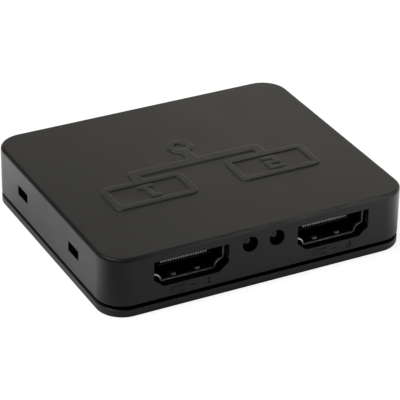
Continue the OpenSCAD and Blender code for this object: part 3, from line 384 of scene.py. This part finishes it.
def softened(name, width):
    """A copy of a CAD piece, with outward edges rounded to about that width, which stands for the piece."""
    made = bmesh.new()
    made.from_mesh(nodes[name].data)
    bmesh.ops.remove_doubles(made, verts=made.verts, dist=WELD)
    bmesh.ops.dissolve_limit(made, angle_limit=FLAT, verts=made.verts, edges=made.edges)
    outward = [e for e in made.edges if len(e.link_faces) == 2 and e.is_convex]
    sharp = [e for e in outward if e.calc_face_angle(0.0) > SHARP]
    bmesh.ops.bevel(made, geom=sharp, offset=width, offset_type="OFFSET", segments=2, profile=0.5,
                    affect="EDGES", clamp_overlap=True)
    made.verts.index_update()
    mesh = bpy.data.meshes.new(name + "_soft")
    mesh.from_pydata([v.co for v in made.verts], [], [[v.index for v in f.verts] for f in made.faces])
    mesh.polygons.foreach_set("use_smooth", [True] * len(mesh.polygons))
    made.free()
    piece = bpy.data.objects.new(name + "_soft", mesh)
    scene.collection.objects.link(piece)
    normals = piece.modifiers.new("flat_faces_first", "WEIGHTED_NORMAL")
    normals.weight = 100
    mesh.materials.append(nodes[name].data.materials[0])
    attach(piece, "root")
    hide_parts(name)
    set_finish(piece, nodes[name]["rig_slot"])


for cover in ("top_cover", "bottom_cover"):
    softened(cover, COVER_ROUND)
for shell in ("output_1_shell", "output_2_shell", "input_shell", "power_shell"):
    softened(shell, SHELL_ROUND)


# Floor and world

FLOOR_SIZE, FLOOR_GAP = 6, 0.02 * MM
FLOOR_GREY, FLOOR_GLOW = 0.35, 0.87
WALL_SHADE, SHADE_REACH = 0.42, 30 * MM

# The floor's glow in the case's reflections: axis, gain, and where the gain starts and ends, in millimetres
MIRRORED = (("Y", 0.74, -29, -12), ("Y", -0.11, -4, 14), ("Y", 0.44, 20, 40),
            ("X", 0.2, -46, -19), ("X", 0.14, -19, 29), ("X", 0.5, 34, 45))

# Strengths of the world's light: everywhere, behind the case, and close to the horizon there
WORLD_BASE, WORLD_BACK, HORIZON = 0.08, 0.14, 2.2
TOWARD_BACK = (0.6, 0.8, 0)


def seen_rays(tree):
    """1 for what the camera sees, straight or through something clear, and the light path node."""
    path = add(tree, "ShaderNodeLightPath")
    seen = calc(tree, "MAXIMUM", path.outputs["Is Camera Ray"], path.outputs["Is Transmission Ray"])
    return seen, path


def floor_material():
    """White to the eye; the case's reflections of it are dim in front of the case and close to its walls."""
    mat, tree, out = new_material("pale_floor")
    seen, path = seen_rays(tree)
    axes = dict(zip("XYZ", position(tree)))
    steps = [ranged(tree, axes[axis], 0.0, gain, start * MM, end * MM) for axis, gain, start, end in MIRRORED]
    mirrored = steps[0]
    for step in steps[1:]:
        mirrored = calc(tree, "ADD", mirrored, step)
    near = add(tree, "ShaderNodeAmbientOcclusion", {"Distance": SHADE_REACH}, samples=8)
    shade = calc(tree, "MULTIPLY", ranged(tree, near.outputs["AO"], WALL_SHADE, 1.0, 0.5, 0.9),
                 path.outputs["Is Glossy Ray"])
    glow = calc(tree, "MAXIMUM", ranged(tree, seen, 0.0, FLOOR_GLOW), calc(tree, "MULTIPLY", mirrored, shade))
    diffuse = add(tree, "ShaderNodeBsdfDiffuse", {"Color": (FLOOR_GREY, FLOOR_GREY, FLOOR_GREY, 1)})
    shine = add(tree, "ShaderNodeEmission", {"Color": (*WHITE, 1), "Strength": glow})
    both = add(tree, "ShaderNodeAddShader", {0: diffuse.outputs[0], 1: shine.outputs[0]})
    tree.links.new(both.outputs[0], out.inputs["Surface"])
    return mat


def studio():
    """World that is white to the eye and lights the case softly, most of all from low behind it."""
    world = bpy.data.worlds.new("studio")
    world.use_nodes = True
    tree = world.node_tree
    tree.nodes.clear()
    out = tree.nodes.new("ShaderNodeOutputWorld")
    seen, _ = seen_rays(tree)
    toward = add(tree, "ShaderNodeTexCoord").outputs["Generated"]
    height = add(tree, "ShaderNodeSeparateXYZ", {0: toward}).outputs["Z"]
    facing = add(tree, "ShaderNodeVectorMath", {0: toward, 1: TOWARD_BACK}, operation="DOT_PRODUCT")
    behind = facing.outputs["Value"]
    back = calc(tree, "MULTIPLY", ranged(tree, behind, 0.0, 1.0, 0.2, 0.95),
                ranged(tree, height, WORLD_BACK, 0.0, 0.2, 0.9))
    low = calc(tree, "MULTIPLY", ranged(tree, behind, 0.0, 1.0, 0.5, 0.95),
               ranged(tree, height, HORIZON, 0.0, 0.04, 0.16))
    light = calc(tree, "ADD", calc(tree, "ADD", back, WORLD_BASE), low)
    warm = add(tree, "ShaderNodeBackground", {"Color": (*PALE_WARM, 1), "Strength": light})
    white = add(tree, "ShaderNodeBackground", {"Color": (*WHITE, 1), "Strength": 1.0})
    both = add(tree, "ShaderNodeMixShader", {0: seen, 1: warm.outputs[0], 2: white.outputs[0]})
    tree.links.new(both.outputs[0], out.inputs["Surface"])
    return world


bpy.ops.mesh.primitive_plane_add(size=FLOOR_SIZE, location=(0, 0, -FLOOR_GAP))
floor = bpy.context.object
floor.name = "floor"
floor.data.materials.append(floor_material())
scene.world = studio()


# Lamps

def lamp(name, location, size, power, colour=WHITE):
    """Lamp of that width and height, aimed at the middle of the part's footprint."""
    data = bpy.data.lights.new(name, "AREA")
    data.shape = "RECTANGLE"
    data.size, data.size_y = size
    data.energy = power
    data.color = colour
    made = bpy.data.objects.new(name, data)
    made.location = location
    made.rotation_mode = "QUATERNION"
    made.rotation_quaternion = (-Vector(location)).to_track_quat("-Z", "Y")
    scene.collection.objects.link(made)


lamp("lamp_key", (-0.39, 0.04, 0.69), (0.35, 0.35), 3.5)
lamp("lamp_side", (0.23, 0.26, 0.17), (0.22, 0.22), 0.035, WARM)
lamp("lamp_rear", (0.04, 0.125, 0.065), (0.2, 0.05), 0.008, WARM)
lamp("lamp_front", (0.2, -0.26, 0.15), (0.24, 0.24), 0.14)


# Camera at the photograph's angle

AZIMUTH, ELEVATION, ROLL = (math.radians(a) for a in (-27.9358, 29.4258, 1.1074))
CAMERA_PLACE = (-0.16421, -0.31093, 0.20257)
SENSOR_WIDTH, FOCAL_LENGTH = 36, 189.96
NEAR_CLIP, FAR_CLIP = 0.01, 20


def photo_camera():
    """Camera that looks back along the azimuth and elevation, rolled about its own axis."""
    back = Vector((math.sin(AZIMUTH) * math.cos(ELEVATION), -math.cos(AZIMUTH) * math.cos(ELEVATION),
                   math.sin(ELEVATION)))
    level = Vector((math.cos(AZIMUTH), math.sin(AZIMUTH), 0))
    upward = back.cross(level)
    right = math.cos(ROLL) * level + math.sin(ROLL) * upward
    above = math.cos(ROLL) * upward - math.sin(ROLL) * level
    made = bpy.data.objects.new("camera", bpy.data.cameras.new("camera"))
    scene.collection.objects.link(made)
    made.data.sensor_width = SENSOR_WIDTH
    made.data.lens = FOCAL_LENGTH
    made.data.clip_start = NEAR_CLIP
    made.data.clip_end = FAR_CLIP
    turned = Matrix((right, above, back)).transposed().to_4x4()
    made.matrix_world = Matrix.Translation(CAMERA_PLACE) @ turned
    return made


scene.camera = photo_camera()
